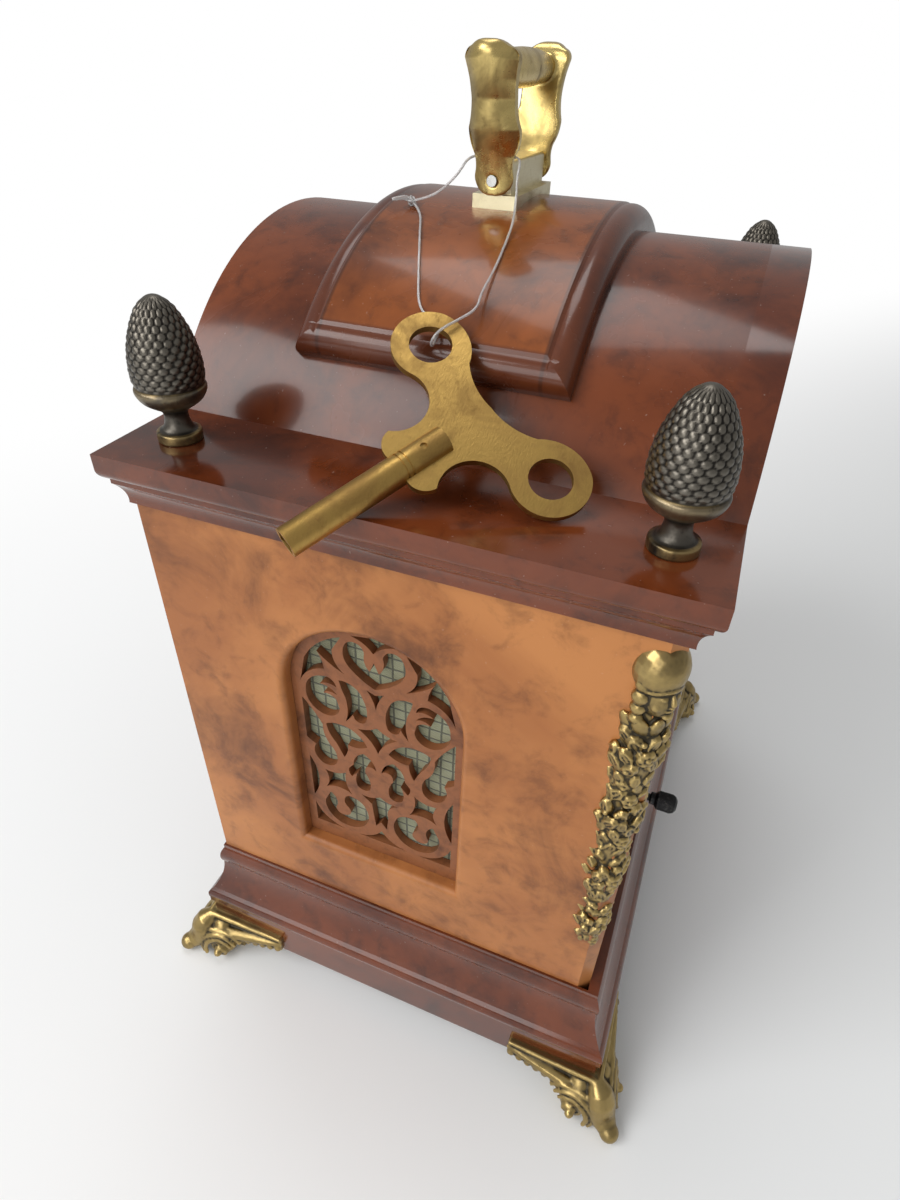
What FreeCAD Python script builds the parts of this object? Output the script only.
import FreeCAD, Part
import math
import os
import re

from FreeCAD import Matrix, Rotation, Vector

# Bracket clock with a barrel roof, millimetres.  +X is the right of the front, the front faces -Y
# and Z is up.  The origin is on the floor, under the middle of the clock's bounding box.

SIZES = [
    # case
    ("case_wide", 223.8),         # over the side panels
    ("base_deep", 161.3),         # the rectangle that the base moulding wraps
    ("front_step", 3.0),          # the case front stands this far behind the base front
    ("panel_thick", 8.0),         # side panels
    ("cant", 3.9),                # canted front corners, measured along each face
    ("plinth_low", 10.7),         # underside of the plinth above the floor
    ("plinth_high", 19.2),
    ("plinth_set", 1.0),          # plinth face behind the moulding's lowest edge
    ("plinth_thick", 13.0),
    ("floor_thick", 8.0),         # board inside the plinth
    ("base_rise", 35.5),          # height of the base moulding
    ("base_out", 8.8),            # its projection
    ("case_top", 232.9),          # top of the side panels
    ("cornice_high", 8.3),        # cove under the top board
    ("cornice_out", 3.7),
    ("ledge_thick", 8.0),
    ("ledge_out", 6.0),
    ("ledge_round", 3.2),
    ("well_side", 37.9),          # edge of the opening in the top board, for the bell and the dial
    # roof
    ("roof_radius", 93.5),
    ("roof_drop", 46.8),          # roof centre below the ledge
    ("roof_thick", 6.0),
    ("arch_deep", 11.1),          # solid band at the front of the roof
    ("back_deep", 8.0),           # solid closing board at the back of the roof
    ("crown_rise", 7.8),          # raised field on the roof
    ("crown_half", 41.0),         # half its depth, front to back
    ("crown_angle", 46.3),        # half its span, degrees
    ("crown_border", 7.6),
    ("mid_y", 7.8),               # middle line of the windows, the raised field and the handle
    # side windows
    ("window_radius", 31.0),
    ("window_spring", 174.2),
    ("window_sill", 94.2),
    ("window_round", 2.3),
    ("window_deep", 5.0),         # from the outer face to the fret
    ("fret_gap", 0.1),
    ("fret_foot", 6.6),           # its border at the sill
    ("cloth_thick", 0.6),
    ("cloth_over", 3.5),
    # front
    ("door_side", 13.4),          # door edge from the outer face of a side
    ("door_low", 66.4),
    ("door_high", 231.9),
    ("door_thick", 14.0),
    ("door_gap", 1.5),
    ("arch_radius", 70.0),
    ("arch_centre", 214.0),
    ("stile", 20.5),
    ("rail", 20.0),
    ("glass_thick", 2.0),
    ("glass_over", 3.0),
    ("rebate", 4.8),
    ("mask_thick", 4.0),
    ("mask_gap", 1.5),
    ("knob_side", 20.9),          # door knob from the same face
    ("knob_z", 153.9),
    ("knob_radius", 3.2),
    ("knob_out", 10.5),
    ("pin_radius", 1.2),
    ("pin_fit", 0.05),
    # back door
    ("back_side", 27.9),          # back door edge from the same face
    ("back_low", 78.0),
    ("back_high", 222.0),
    ("back_gap", 1.5),
    # dial
    ("dial_side", 25.9),          # dial edge from the same face
    ("dial_low", 77.0),
    ("dial_high", 222.0),
    ("dial_arch", 58.0),
    ("dial_thick", 1.6),
    ("dial_z", 150.2),
    ("ring_outer", 61.0),
    ("ring_inner", 44.0),
    ("ring_thick", 1.2),
    ("boss_radius", 24.0),
    # handle
    ("handle_pin", 1.5),          # radius
    ("block_half", 16.4),
    ("block_deep", 8.8),
    ("block_high", 11.2),
    ("foot_half", 18.3),
    ("foot_deep", 14.0),
    ("foot_thick", 2.2),
    ("pivot_rise", 6.2),          # pivot above the raised field
    ("grip_radius", 5.0),
    # turned and cast fittings
    ("finial_in_x", 18.9),
    ("finial_in_y", 15.6),
    ("foot_out", 14.3),           # reach of a foot past the moulding
    ("foot_wing", 36.0),
    ("mount_low", 91.0),
    ("mount_reach", 9.9),         # how far a mount reaches in over the front
    ("boss_rise", 88.3),          # arch boss above the centre of the hands
    # movement
    ("plate_front", 17.15),       # front plate behind the front of the mask board
    ("plate_gap", 50.0),
    ("plate_thick", 2.5),
    ("plate_half", 72.0),
    ("plate_high", 114.0),
    ("pillar_x", 63.0),
    ("pillar_z", 48.0),
    ("seat_thick", 8.0),
    ("barrel_x", 34.0),
    ("barrel_drop", 22.0),
    ("barrel_radius", 27.0),
    ("barrel_wide", 24.0),
    ("barrel_arbor", 2.5),
    ("square", 5.0),              # winding squares and the key's socket
    ("wheel_thick", 1.6),
    ("wheel_teeth", 36.0),
    ("pinion_leaves", 6.0),
    ("arbor_radius", 1.6),
    ("pipe_radius", 2.5),         # pipe that carries the minute hand
    ("post_radius", 1.2),         # post of the minute wheel
    ("balance_radius", 11.0),
    ("bell_radius", 30.0),
    ("bell_low", 226.0),
    ("bell_y", -22.0),
    ("hammer_x", -36.0),
    ("hammer_z", 38.0),
    # key and thread
    ("key_barrel", 3.95),         # radius of its barrel
    ("key_long", 46.6),           # barrel length
    ("key_socket_deep", 16.0),
    ("key_eye_up", 14.3),         # eyes past the end of the barrel
    ("key_eye_out", 24.2),        # and out from its axis
    ("key_eye", 5.65),
    ("key_lobe", 10.4),
    ("key_thick", 2.0),
    ("hinge_knuckle", 2.2),
    ("hinge_leaf", 0.7),
    ("thread_radius", 0.35),
]

doc = FreeCAD.newDocument("bracket_clock")
sheet = doc.addObject("Spreadsheet::Sheet", "sizes")
for row, (alias, value) in enumerate(SIZES, start=1):
    sheet.set("A%d" % row, alias)
    sheet.set("B%d" % row, str(value))
    sheet.setAlias("B%d" % row, alias)
doc.recompute()


class Sheet:
    """The sheet's values as plain numbers."""

    def __getattr__(self, alias):
        return float(sheet.get(alias))


S = Sheet()
ALIASES = [alias for alias, value in SIZES]
WORD = re.compile(r"[a-z_]+")
X = Vector(1, 0, 0)
Y = Vector(0, 1, 0)
Z = Vector(0, 0, 1)
NODES = []


def bound(text):
    """A formula on the sheet's names, as an expression of the document."""
    return WORD.sub(lambda word: "sizes." + word.group() if word.group() in ALIASES else word.group(), text)


def bind(item, **formulas):
    for name, text in formulas.items():
        item.setExpression(name.replace("__", "."), bound(text))
    return item


def place(item, x="0", y="0", z="0"):
    return bind(item, Placement__Base__x=x, Placement__Base__y=y, Placement__Base__z=z)


def box(name, x0, x1, y0, y1, z0, z1):
    """A box between pairs of formulas."""
    item = doc.addObject("Part::Box", name)
    bind(item, Length="(%s) - (%s)" % (x1, x0), Width="(%s) - (%s)" % (y1, y0), Height="(%s) - (%s)" % (z1, z0))
    return place(item, x0, y0, z0)


def rod(name, radius, length, x="0", y="0", z="0", axis=Z):
    """A cylinder from a point along an axis."""
    item = doc.addObject("Part::Cylinder", name)
    item.Placement.Rotation = Rotation(Z, axis)
    bind(item, Radius=radius, Height=length)
    return place(item, x, y, z)


def cut(name, base, tool):
    item = doc.addObject("Part::Cut", name)
    item.Base = base
    item.Tool = tool
    return item


def shaped(name, shape):
    """A piece whose outline needs Part's own functions."""
    item = doc.addObject("Part::Feature", name)
    item.Shape = shape
    return item


def node(item, label):
    """Marks a finished piece, whose label names its file."""
    item.Label = label
    NODES.append(item)
    return item


def role_plane(body, role):
    return next(plane for plane in body.Origin.OriginFeatures if plane.Role == role)


def outline_sketch(body, role, outline):
    """A closed sketch.  A step of the outline is a point, or a pair: a point on an arc and its end."""
    sketch = body.newObject("Sketcher::SketchObject", body.Name + "_outline")
    sketch.AttachmentSupport = [(role_plane(body, role), "")]
    sketch.MapMode = "FlatFace"
    ends = [step[-1] if isinstance(step, list) else step for step in outline]
    for index, step in enumerate(outline):
        start = Vector(*ends[index - 1], 0)
        end = Vector(*ends[index], 0)
        if isinstance(step, list):
            sketch.addGeometry(Part.Arc(start, Vector(*step[0], 0), end))
        else:
            sketch.addGeometry(Part.LineSegment(start, end))
    return sketch


def turned(name, outline):
    """A piece turned about Z from half its outline, given as radius and height."""
    body = doc.addObject("PartDesign::Body", name)
    sketch = outline_sketch(body, "XZ_Plane", outline)
    doc.recompute()
    feature = body.newObject("PartDesign::Revolution", name + "_turned")
    feature.Profile = sketch
    feature.ReferenceAxis = (sketch, ["V_Axis"])
    feature.Angle = 360
    return body


def wire(points):
    """A closed wire with the steps of outline_sketch, of 3-D points."""
    ends = [step[-1] if isinstance(step, list) else step for step in points]
    edges = []
    for index, step in enumerate(points):
        if isinstance(step, list):
            edges.append(Part.Arc(ends[index - 1], step[0], ends[index]).toShape())
        else:
            edges.append(Part.LineSegment(ends[index - 1], ends[index]).toShape())
    return Part.Wire(edges)


def prism(points, along):
    return Part.Face(wire(points)).extrude(along)


def fused(shapes):
    return shapes[0].multiFuse(shapes[1:]).removeSplitter()


# ---- places that many pieces share -------------------------------------------------------------

BASE_HALF = "base_deep / 2"
CASE_HALF = "case_wide / 2"
FRONT = "(front_step - base_deep / 2)"
BACK = "base_deep / 2"
BACK_HALF = "(case_wide / 2 - back_side)"
BASE_TOP = "(plinth_low + plinth_high + base_rise)"
PLINTH_TOP = "(plinth_low + plinth_high)"

case_half = S.case_wide / 2
base_half = S.base_deep / 2
door_half = case_half - S.door_side
dial_half = case_half - S.dial_side
back_half = case_half - S.back_side
well_half = case_half - S.well_side
knob_x = case_half - S.knob_side
front = S.front_step - base_half
back = base_half
plinth_top = S.plinth_low + S.plinth_high
base_top = plinth_top + S.base_rise
ledge = S.case_top + S.cornice_high + S.ledge_thick
roof_z = ledge - S.roof_drop
roof_top = roof_z + S.roof_radius
crown_top = roof_top + S.crown_rise
ledge_front = front - S.ledge_out
ledge_back = back + S.ledge_out
door_back = front + S.door_thick
mask_front = door_back + S.mask_gap
mask_back = mask_front + S.mask_thick


# ---- base --------------------------------------------------------------------------------------

def ring_moulding(profile, half_x, y_front, y_back):
    """A moulding mitred round a rectangle.  The profile is steps of (projection, height)."""

    def run(origin, outward, along, length):
        def at(point):
            return origin + outward * point[0] + Z * point[1]

        points = [[at(p) for p in step] if isinstance(step, list) else at(step) for step in profile]
        return prism(points, along * length)

    reach = max(step[-1][0] if isinstance(step, list) else step[0] for step in profile)
    low = min(step[-1][1] if isinstance(step, list) else step[1] for step in profile)
    high = max(step[-1][1] if isinstance(step, list) else step[1] for step in profile)
    corners = [(-half_x, y_front), (half_x, y_front), (half_x, y_back), (-half_x, y_back)]
    outwards = [-Y, X, Y, -X]
    runs = []
    for index, outward in enumerate(outwards):
        start = Vector(*corners[index], 0)
        end = Vector(*corners[(index + 1) % 4], 0)
        along = (end - start).normalize()
        length = (end - start).Length
        bar = run(start - along * reach, outward, along, length + 2 * reach)
        mitre = [start + (outward - along) * (2 * reach), end + (outward + along) * (2 * reach), end, start]
        if outward.dot(Y) or outward.dot(X):
            mitre = [point + Z * (low - 1) for point in mitre]
        wedge = prism(mitre, Z * (high - low + 2))
        runs.append(bar.common(wedge))
    return fused(runs)


def make_plinth():
    """Four plinth boards and the floor board that lies inside them."""
    out = "base_out - plinth_set"
    outer = box("plinth_outer", "-%s - (%s)" % (CASE_HALF, out), "%s + %s" % (CASE_HALF, out),
                "-%s - (%s)" % (BASE_HALF, out), "%s + %s" % (BASE_HALF, out), "plinth_low", PLINTH_TOP)
    inner = box("plinth_inner", "-%s - (%s) + plinth_thick" % (CASE_HALF, out),
                "%s + %s - plinth_thick" % (CASE_HALF, out),
                "-%s - (%s) + plinth_thick" % (BASE_HALF, out),
                "%s + %s - plinth_thick" % (BASE_HALF, out), "plinth_low - 1", PLINTH_TOP + " + 1")
    node(cut("plinth_cut", outer, inner), "plinth_frame")
    node(box("floor_board", "-%s - (%s) + plinth_thick" % (CASE_HALF, out),
             "%s + %s - plinth_thick" % (CASE_HALF, out),
             "-%s - (%s) + plinth_thick" % (BASE_HALF, out),
             "%s + %s - plinth_thick" % (BASE_HALF, out), PLINTH_TOP + " - floor_thick", PLINTH_TOP),
         "floor_board")


def make_base_moulding():
    """Bead, quirk, deep cove and lower bead, mitred round the case."""
    low = plinth_top
    out = S.base_out
    rise = S.base_rise
    profile = [
        (0, low),
        (out, low),
        (out, low + 0.07 * rise),
        [(out + 0.03 * out, low + 0.15 * rise), (0.86 * out, low + 0.22 * rise)],
        (0.78 * out, low + 0.24 * rise),
        [(0.40 * out, low + 0.44 * rise), (0.22 * out, low + 0.69 * rise)],
        (0.27 * out, low + 0.72 * rise),
        [(0.29 * out, low + 0.84 * rise), (0.10 * out, low + 0.95 * rise)],
        (0.10 * out, low + rise),
        (0, low + rise),
    ]
    node(shaped("moulding", ring_moulding(profile, case_half, -base_half, back)), "base_moulding")


# ---- case --------------------------------------------------------------------------------------

def arch_outline(half, low, spring, plane):
    """Sill, two straight sides and a round head."""
    points = [(half, low), (half, spring), [(0, spring + half), (-half, spring)], (-half, low)]
    return [[plane(*p) for p in step] if isinstance(step, list) else plane(*step) for step in points]


def window_solid(half, low, x0, x1):
    """The space of a side window between two X planes."""
    points = arch_outline(half, low, S.window_spring, lambda u, v: Vector(x0, S.mid_y + u, v))
    return prism(points, X * (x1 - x0))


def make_side(side, label):
    """A veneered side with its canted front edge and the round-headed window with a rounded lip."""
    outer = side * case_half
    inner = side * (case_half - S.panel_thick)
    points = [
        Vector(inner, front, plinth_top),
        Vector(outer - side * S.cant, front, plinth_top),
        Vector(outer, front + S.cant, plinth_top),
        Vector(outer, back, plinth_top),
        Vector(inner, back, plinth_top),
    ]
    board = prism(points, Z * (S.case_top - plinth_top))
    hole = window_solid(S.window_radius, S.window_sill, inner - side, outer + side)
    board = board.cut(hole)
    lip = [edge for edge in board.Edges
           if abs(edge.BoundBox.XMin - outer) < 0.01 and abs(edge.BoundBox.XMax - outer) < 0.01
           and edge.BoundBox.YMin > front + 2 * S.cant and edge.BoundBox.YMax < back - 1]
    board = board.makeFillet(S.window_round, lip)
    node(shaped("side_" + label, board), label + "_side_panel")


def fret_plane(x, side):
    """Places a fret drawing: u towards the front, v up from the pierced field's foot."""
    low = S.window_sill + S.fret_foot
    return lambda u, v: Vector(x, S.mid_y - u, low + v)


def sawn_lines(at, run):
    """One side of a piercing from corner to corner: a line, or arcs through three points at a time."""
    points = [at(*point) for point in run]
    edges = []
    for index in range(0, len(points) - 1, 2):
        if index + 2 < len(points):
            edges.append(Part.Arc(*points[index:index + 3]).toShape())
        else:
            edges.append(Part.LineSegment(*points[index:index + 2]).toShape())
    return edges


def piercing(at, thick, runs):
    """The solid that the saw takes out of the board, from the smooth sides of its outline."""
    edges = [edge for run in runs for edge in sawn_lines(at, run)]
    return Part.Face(Part.Wire(edges)).extrude(thick)


def mirrored(runs):
    return [[(-u, v) for u, v in run] for run in runs]


def about_middle(half):
    """Closes an outline across the middle line, from its right half."""
    back = [[(-u, v) for u, v in reversed(run)] for run in reversed(half)]
    return half + back


# Half of the scrollwork, as the piercings between its leaves, in millimetres from the middle line
# and from the foot of the pierced field.  Each runs from corner to corner.
PAIRED_PIERCINGS = [
    # between the heart, the arch and the large scroll, with a leaf standing in it
    [[(11.0, 97.6), (18.9, 92.8), (24.9, 84.6), (27.4, 73.6)],
     [(27.4, 73.6), (23.4, 79.6), (17.9, 82.3)],
     [(17.9, 82.3), (18.4, 85.6), (20.0, 89.2)],
     [(20.0, 89.2), (15.6, 85.4), (10.6, 82.6)],
     [(10.6, 82.6), (13.6, 86.4), (14.4, 91.6), (11.0, 97.6)]],
    # large scroll, outer lobe with two leaf tips
    [[(14.0, 75.6), (15.2, 78.2), (19.2, 78.8), (23.8, 75.9), (25.6, 70.2), (24.2, 64.4), (19.8, 61.3),
      (15.4, 62.4), (13.4, 66.2), (14.2, 69.9)],
     [(14.2, 69.9), (16.4, 71.4), (19.0, 71.5)],
     [(19.0, 71.5), (16.2, 72.8), (14.0, 72.2)],
     [(14.0, 72.2), (16.6, 74.6), (20.0, 75.2)],
     [(20.0, 75.2), (16.8, 76.4), (14.0, 75.6)]],
    # large scroll, inner lobe with a curled foot
    [[(12.9, 79.2), (8.2, 78.6), (4.6, 74.2), (3.3, 68.2), (3.8, 64.2), (5.6, 62.6), (8.0, 63.6),
      (8.6, 65.4)],
     [(8.6, 65.4), (9.6, 63.6), (11.4, 61.2)],
     [(11.4, 61.2), (10.4, 67.0), (11.0, 72.6), (12.0, 75.4), (12.9, 79.2)]],
    # side field that ends in a drop
    [[(27.6, 66.4), (27.6, 47.0)],
     [(27.6, 47.0), (25.6, 45.4), (24.2, 44.6)],
     [(24.2, 44.6), (25.0, 39.6), (22.8, 36.0), (19.4, 35.4), (16.6, 37.8), (16.2, 42.0), (18.4, 46.6),
      (20.4, 51.4), (20.6, 55.8), (23.4, 60.8), (27.6, 66.4)]],
    # wing below the large scroll
    [[(4.0, 51.6), (6.0, 55.0), (9.6, 57.8), (14.6, 58.6), (19.2, 57.0)],
     [(19.2, 57.0), (18.2, 52.6), (15.8, 48.6), (13.2, 42.6)],
     [(13.2, 42.6), (11.8, 46.0), (11.4, 49.6)],
     [(11.4, 49.6), (8.0, 49.6), (4.0, 51.6)]],
    # leaf-shaped eye of the middle heart, with the drop under it
    [[(1.0, 40.6), (2.4, 44.8), (5.6, 47.6), (8.8, 44.4), (9.8, 40.2), (11.6, 37.8)],
     [(11.6, 37.8), (11.6, 35.0), (10.8, 33.6)],
     [(10.8, 33.6), (9.6, 35.2), (8.2, 37.0)],
     [(8.2, 37.0), (9.2, 33.0), (9.0, 29.8), (6.4, 28.0), (3.8, 29.4), (3.6, 33.4), (5.4, 38.0),
      (5.2, 40.2)],
     [(5.2, 40.2), (3.2, 41.8), (1.0, 40.6)]],
    # small field beside the middle heart
    [[(13.2, 34.4), (16.0, 32.6), (21.8, 32.4)],
     [(21.8, 32.4), (20.4, 27.2), (22.0, 22.6)],
     [(22.0, 22.6), (17.6, 24.6), (11.4, 23.2)],
     [(11.4, 23.2), (13.4, 28.6), (13.2, 34.4)]],
    # sliver along the border
    [[(27.6, 37.4), (27.6, 15.4)],
     [(27.6, 15.4), (24.6, 26.0), (27.6, 37.4)]],
    # lower scroll round its hanging bud
    [[(13.4, 21.2), (9.0, 20.8), (5.8, 16.8), (5.2, 11.6), (7.8, 6.2), (13.0, 3.4), (18.8, 4.6),
      (22.4, 9.2), (22.8, 15.0), (20.4, 20.2)],
     [(20.4, 20.2), (18.0, 17.0), (18.6, 12.6), (17.4, 9.6), (14.6, 9.4), (12.6, 11.6), (13.2, 14.4),
      (14.8, 17.4), (13.4, 21.2)]],
    # bottom corner
    [[(13.8, 0.6), (27.5, 0.6)],
     [(27.5, 0.6), (27.5, 11.6)],
     [(27.5, 11.6), (22.4, 3.6), (13.8, 0.6)]],
]
MIDDLE_PIERCINGS = [
    # crescent at the top
    [[(0, 100.8), (7.6, 99.4)],
     [(7.6, 99.4), (3.0, 97.6), (0, 94.6)]],
    # heart with a bud hanging in it
    [[(0, 91.0), (1.6, 87.0)],
     [(1.6, 87.0), (3.0, 89.4), (3.2, 93.4), (5.6, 97.0), (9.4, 95.8), (10.6, 91.2), (8.8, 86.4),
      (4.4, 82.4), (0, 79.9)]],
    # drop between the large scrolls
    [[(0, 77.4), (3.0, 78.6)],
     [(3.0, 78.6), (1.0, 74.8), (0, 70.6)]],
    # cross-shaped field
    [[(0, 62.6), (2.9, 60.6), (7.2, 59.4)],
     [(7.2, 59.4), (2.9, 55.7), (0, 50.0)]],
    # narrow field between the lower scrolls
    [[(0, 27.2), (3.0, 25.4), (7.4, 25.2)],
     [(7.4, 25.2), (3.4, 21.8), (3.0, 17.0), (2.2, 9.6)],
     [(2.2, 9.6), (0, 12.6)]],
    # low peak on the sill
    [[(0, 7.4), (3.8, 3.0), (10.6, 0.6)],
     [(10.6, 0.6), (0, 0.6)]],
]


def make_fret(side, label):
    """Pierced scrollwork in a border, sawn from one thin board, with the cloth behind it."""
    face = side * (case_half - S.window_deep)
    inner = side * (case_half - S.panel_thick)
    thick = X * (inner - face)
    at = fret_plane(face, side)
    board = window_solid(S.window_radius - S.fret_gap, S.window_sill + S.fret_gap, face, inner)
    holes = []
    for runs in PAIRED_PIERCINGS:
        holes.append(piercing(at, thick, runs))
        holes.append(piercing(at, thick, mirrored(runs)))
    for half in MIDDLE_PIERCINGS:
        holes.append(piercing(at, thick, about_middle(half)))
    node(shaped("fret_" + label, board.cut(Part.makeCompound(holes))), label + "_fret")


def make_cloths():
    """Woven cloth behind each fret."""
    pieces = []
    for side in (-1, 1):
        inner = side * (case_half - S.panel_thick)
        pieces.append(window_solid(S.window_radius + S.cloth_over, S.window_sill - S.cloth_over,
                                   inner, inner - side * S.cloth_thick))
    node(shaped("cloth_shapes", Part.makeCompound(pieces)), "fret_cloths")


def door_outline(half, low, shoulder, radius, y):
    """The broken-arch outline of the door, its opening and the dial."""
    centre = S.arch_centre
    side = math.sqrt(radius ** 2 - (shoulder - centre) ** 2) if shoulder > centre else radius
    return [
        Vector(-half, y, low),
        Vector(half, y, low),
        Vector(half, y, shoulder),
        Vector(side, y, shoulder),
        [Vector(0, y, centre + radius), Vector(-side, y, shoulder)],
        Vector(-half, y, shoulder),
    ]


opening_half = door_half - S.stile
opening_low = S.door_low + S.rail
opening_arch = S.arch_radius - S.stile + 2.5


def opening(grow, y0, y1):
    """The glazed opening of the door, grown on every side, between two Y planes."""
    points = door_outline(opening_half + grow, opening_low - grow, S.arch_centre + grow,
                          opening_arch + grow, y0)
    return prism(points, Y * (y1 - y0))


def make_front_frame():
    """Front posts, the sill rail and the mask board that the door closes on."""
    inner = case_half - S.panel_thick
    mask = prism(door_outline(inner, plinth_top, S.case_top, S.arch_radius, mask_front), Y * S.mask_thick)
    mask = mask.cut(opening(0, mask_front - 1, mask_back + 1))
    post_in = door_half + S.door_gap
    pieces = [mask]
    for side in (-1, 1):
        x0 = min(side * post_in, side * inner)
        pieces.append(Part.makeBox(inner - post_in, mask_front - front, S.case_top - plinth_top,
                                   Vector(x0, front, plinth_top)))
    pieces.append(Part.makeBox(2 * inner, mask_front - front, S.door_low - S.door_gap - plinth_top + 0.5,
                               Vector(-inner, front, plinth_top)))
    # the base front stands proud of the case front, over a filling board
    pieces.append(Part.makeBox(2 * case_half, front + base_half, base_top - plinth_top,
                               Vector(-case_half, -base_half, plinth_top)))
    node(shaped("front_frame_shape", fused(pieces)), "front_frame")


def make_back_frame():
    inner = "(case_wide / 2 - panel_thick)"
    outer = box("back_board", "-" + inner, inner, BACK + " - panel_thick", BACK, PLINTH_TOP, "case_top")
    hole = box("back_hole", "-%s - back_gap" % BACK_HALF, "%s + back_gap" % BACK_HALF, BACK + " - panel_thick - 1",
               BACK + " + 1", "back_low - back_gap", "back_high + back_gap")
    node(cut("back_frame_cut", outer, hole), "back_frame")


def make_top():
    """Top board with its rounded edge and the cove moulding under it, both broken by the dial arch."""
    ease = S.arch_radius + S.door_gap
    notch = prism([Vector(-ease, front - 20, S.arch_centre), [Vector(0, front - 20, S.arch_centre + ease),
                   Vector(ease, front - 20, S.arch_centre)]], Y * (mask_back - front + 20.5))
    board = Part.makeBox(2 * (case_half + S.ledge_out), ledge_back - ledge_front, S.ledge_thick,
                         Vector(-case_half - S.ledge_out, ledge_front, ledge - S.ledge_thick))
    rim = [edge for edge in board.Edges if abs(edge.BoundBox.ZMax - (ledge - S.ledge_thick)) < 0.01]
    board = board.makeFillet(S.ledge_round, rim)
    well = Part.makeBox(2 * well_half, ledge_back - mask_back - 26.0, S.ledge_thick + 2,
                        Vector(-well_half, mask_back, ledge - S.ledge_thick - 1))
    node(shaped("top_shape", board.cut(notch).cut(well)), "top_board")
    low = S.case_top
    out = S.cornice_out
    high = S.cornice_high
    profile = [
        (-6.0, low),
        (0.35 * out, low),
        [(0.50 * out, low + 0.50 * high), (out, low + 0.82 * high)],
        (out, low + high),
        (-6.0, low + high),
    ]
    cove = ring_moulding(profile, case_half, front, back)
    node(shaped("cornice_shape", cove.cut(notch)), "cornice_moulding")


# ---- roof --------------------------------------------------------------------------------------

def segment(radius, y0, y1):
    """The part above the ledge of a cylinder that lies front to back."""
    half = math.sqrt(radius ** 2 - S.roof_drop ** 2)
    points = [Vector(half, y0, ledge), [Vector(0, y0, roof_z + radius), Vector(-half, y0, ledge)]]
    return prism(points, Y * (y1 - y0))


def make_roof():
    """Thin barrel shell between a solid front arch and a solid back board."""
    seam = ledge_front + S.arch_deep
    rear = ledge_back - S.back_deep
    shell = segment(S.roof_radius, seam, rear).cut(segment(S.roof_radius - S.roof_thick, seam - 1, rear + 1))
    node(shaped("roof_shape", shell), "roof_shell")
    ease = S.arch_radius + S.door_gap
    hole = Part.makeCylinder(ease, S.arch_deep + 2, Vector(0, ledge_front - 1, S.arch_centre), Y)
    node(shaped("arch_shape", segment(S.roof_radius, ledge_front, seam).cut(hole)), "roof_front_arch")
    node(shaped("gable_shape", segment(S.roof_radius, rear, ledge_back)), "roof_back_board")


def polar(radius, degrees, y):
    angle = math.radians(degrees)
    return Vector(radius * math.sin(angle), y, roof_z + radius * math.cos(angle))


def make_crown():
    """Raised field that follows the roof, with a rounded moulding sloping down on all sides."""
    span = S.crown_angle
    half = S.crown_half
    rise = S.crown_rise
    border = S.crown_border
    sunk = 3.0
    # (distance in from the edge, height above the roof) of the moulding
    foot = (0, -sunk)
    edge = (0, 0.24 * rise)
    swell = (0.20 * border, 0.76 * rise)
    brow = (0.86 * border, 0.94 * rise)
    field = (border, rise)

    def end_point(step, sign):
        return polar(S.roof_radius + step[1], sign * (span - math.degrees(step[0] / S.roof_radius)), 0)

    lengthwise = [
        end_point(edge, -1),
        [end_point(swell, -1), end_point(brow, -1)],
        end_point(field, -1),
        [polar(S.roof_radius + rise, 0, 0), end_point(field, 1)],
        end_point(brow, 1),
        [end_point(swell, 1), end_point(edge, 1)],
        end_point(foot, 1),
        [polar(S.roof_radius - sunk, 0, 0), end_point(foot, -1)],
    ]
    along = prism(lengthwise, Y * (4 * half))
    along.translate(Y * (S.mid_y - 2 * half))

    def side_point(step, sign):
        return Vector(0, S.mid_y + sign * (half - step[0]), roof_z + S.roof_radius + step[1])

    crosswise = wire([
        side_point(foot, -1),
        side_point(edge, -1),
        [side_point(swell, -1), side_point(brow, -1)],
        side_point(field, -1),
        side_point(field, 1),
        side_point(brow, 1),
        [side_point(swell, 1), side_point(edge, 1)],
        side_point(foot, 1),
    ])
    across = Part.Face(crosswise).revolve(Vector(0, 0, roof_z), Y, 2 * span)
    across.rotate(Vector(0, 0, roof_z), Y, -span)
    bore = Part.makeCylinder(S.roof_radius, 4 * half, Vector(0, S.mid_y - 2 * half, roof_z), Y)
    node(shaped("crown_shape", along.common(across).cut(bore)), "raised_roof_panel")


# ---- handle ------------------------------------------------------------------------------------

pivot = Vector(0, S.mid_y, crown_top + S.pivot_rise)


def both_sides(start, half):
    """Outline from a start on the middle line up one side and down the other."""
    ends = [start] + [step[-1] if isinstance(step, list) else step for step in half]
    outline = list(half)
    for index in reversed(range(len(half))):
        end = (-ends[index][0], ends[index][1])
        step = half[index]
        outline.append([(-step[0][0], step[0][1]), end] if isinstance(step, list) else end)
    return outline


def on_plane(outline, plane):
    return [[plane(*p) for p in step] if isinstance(step, list) else plane(*step) for step in outline]


def pin_bore(radius, reach):
    return Part.makeCylinder(radius, 2 * reach, pivot - X * reach, X)


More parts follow.
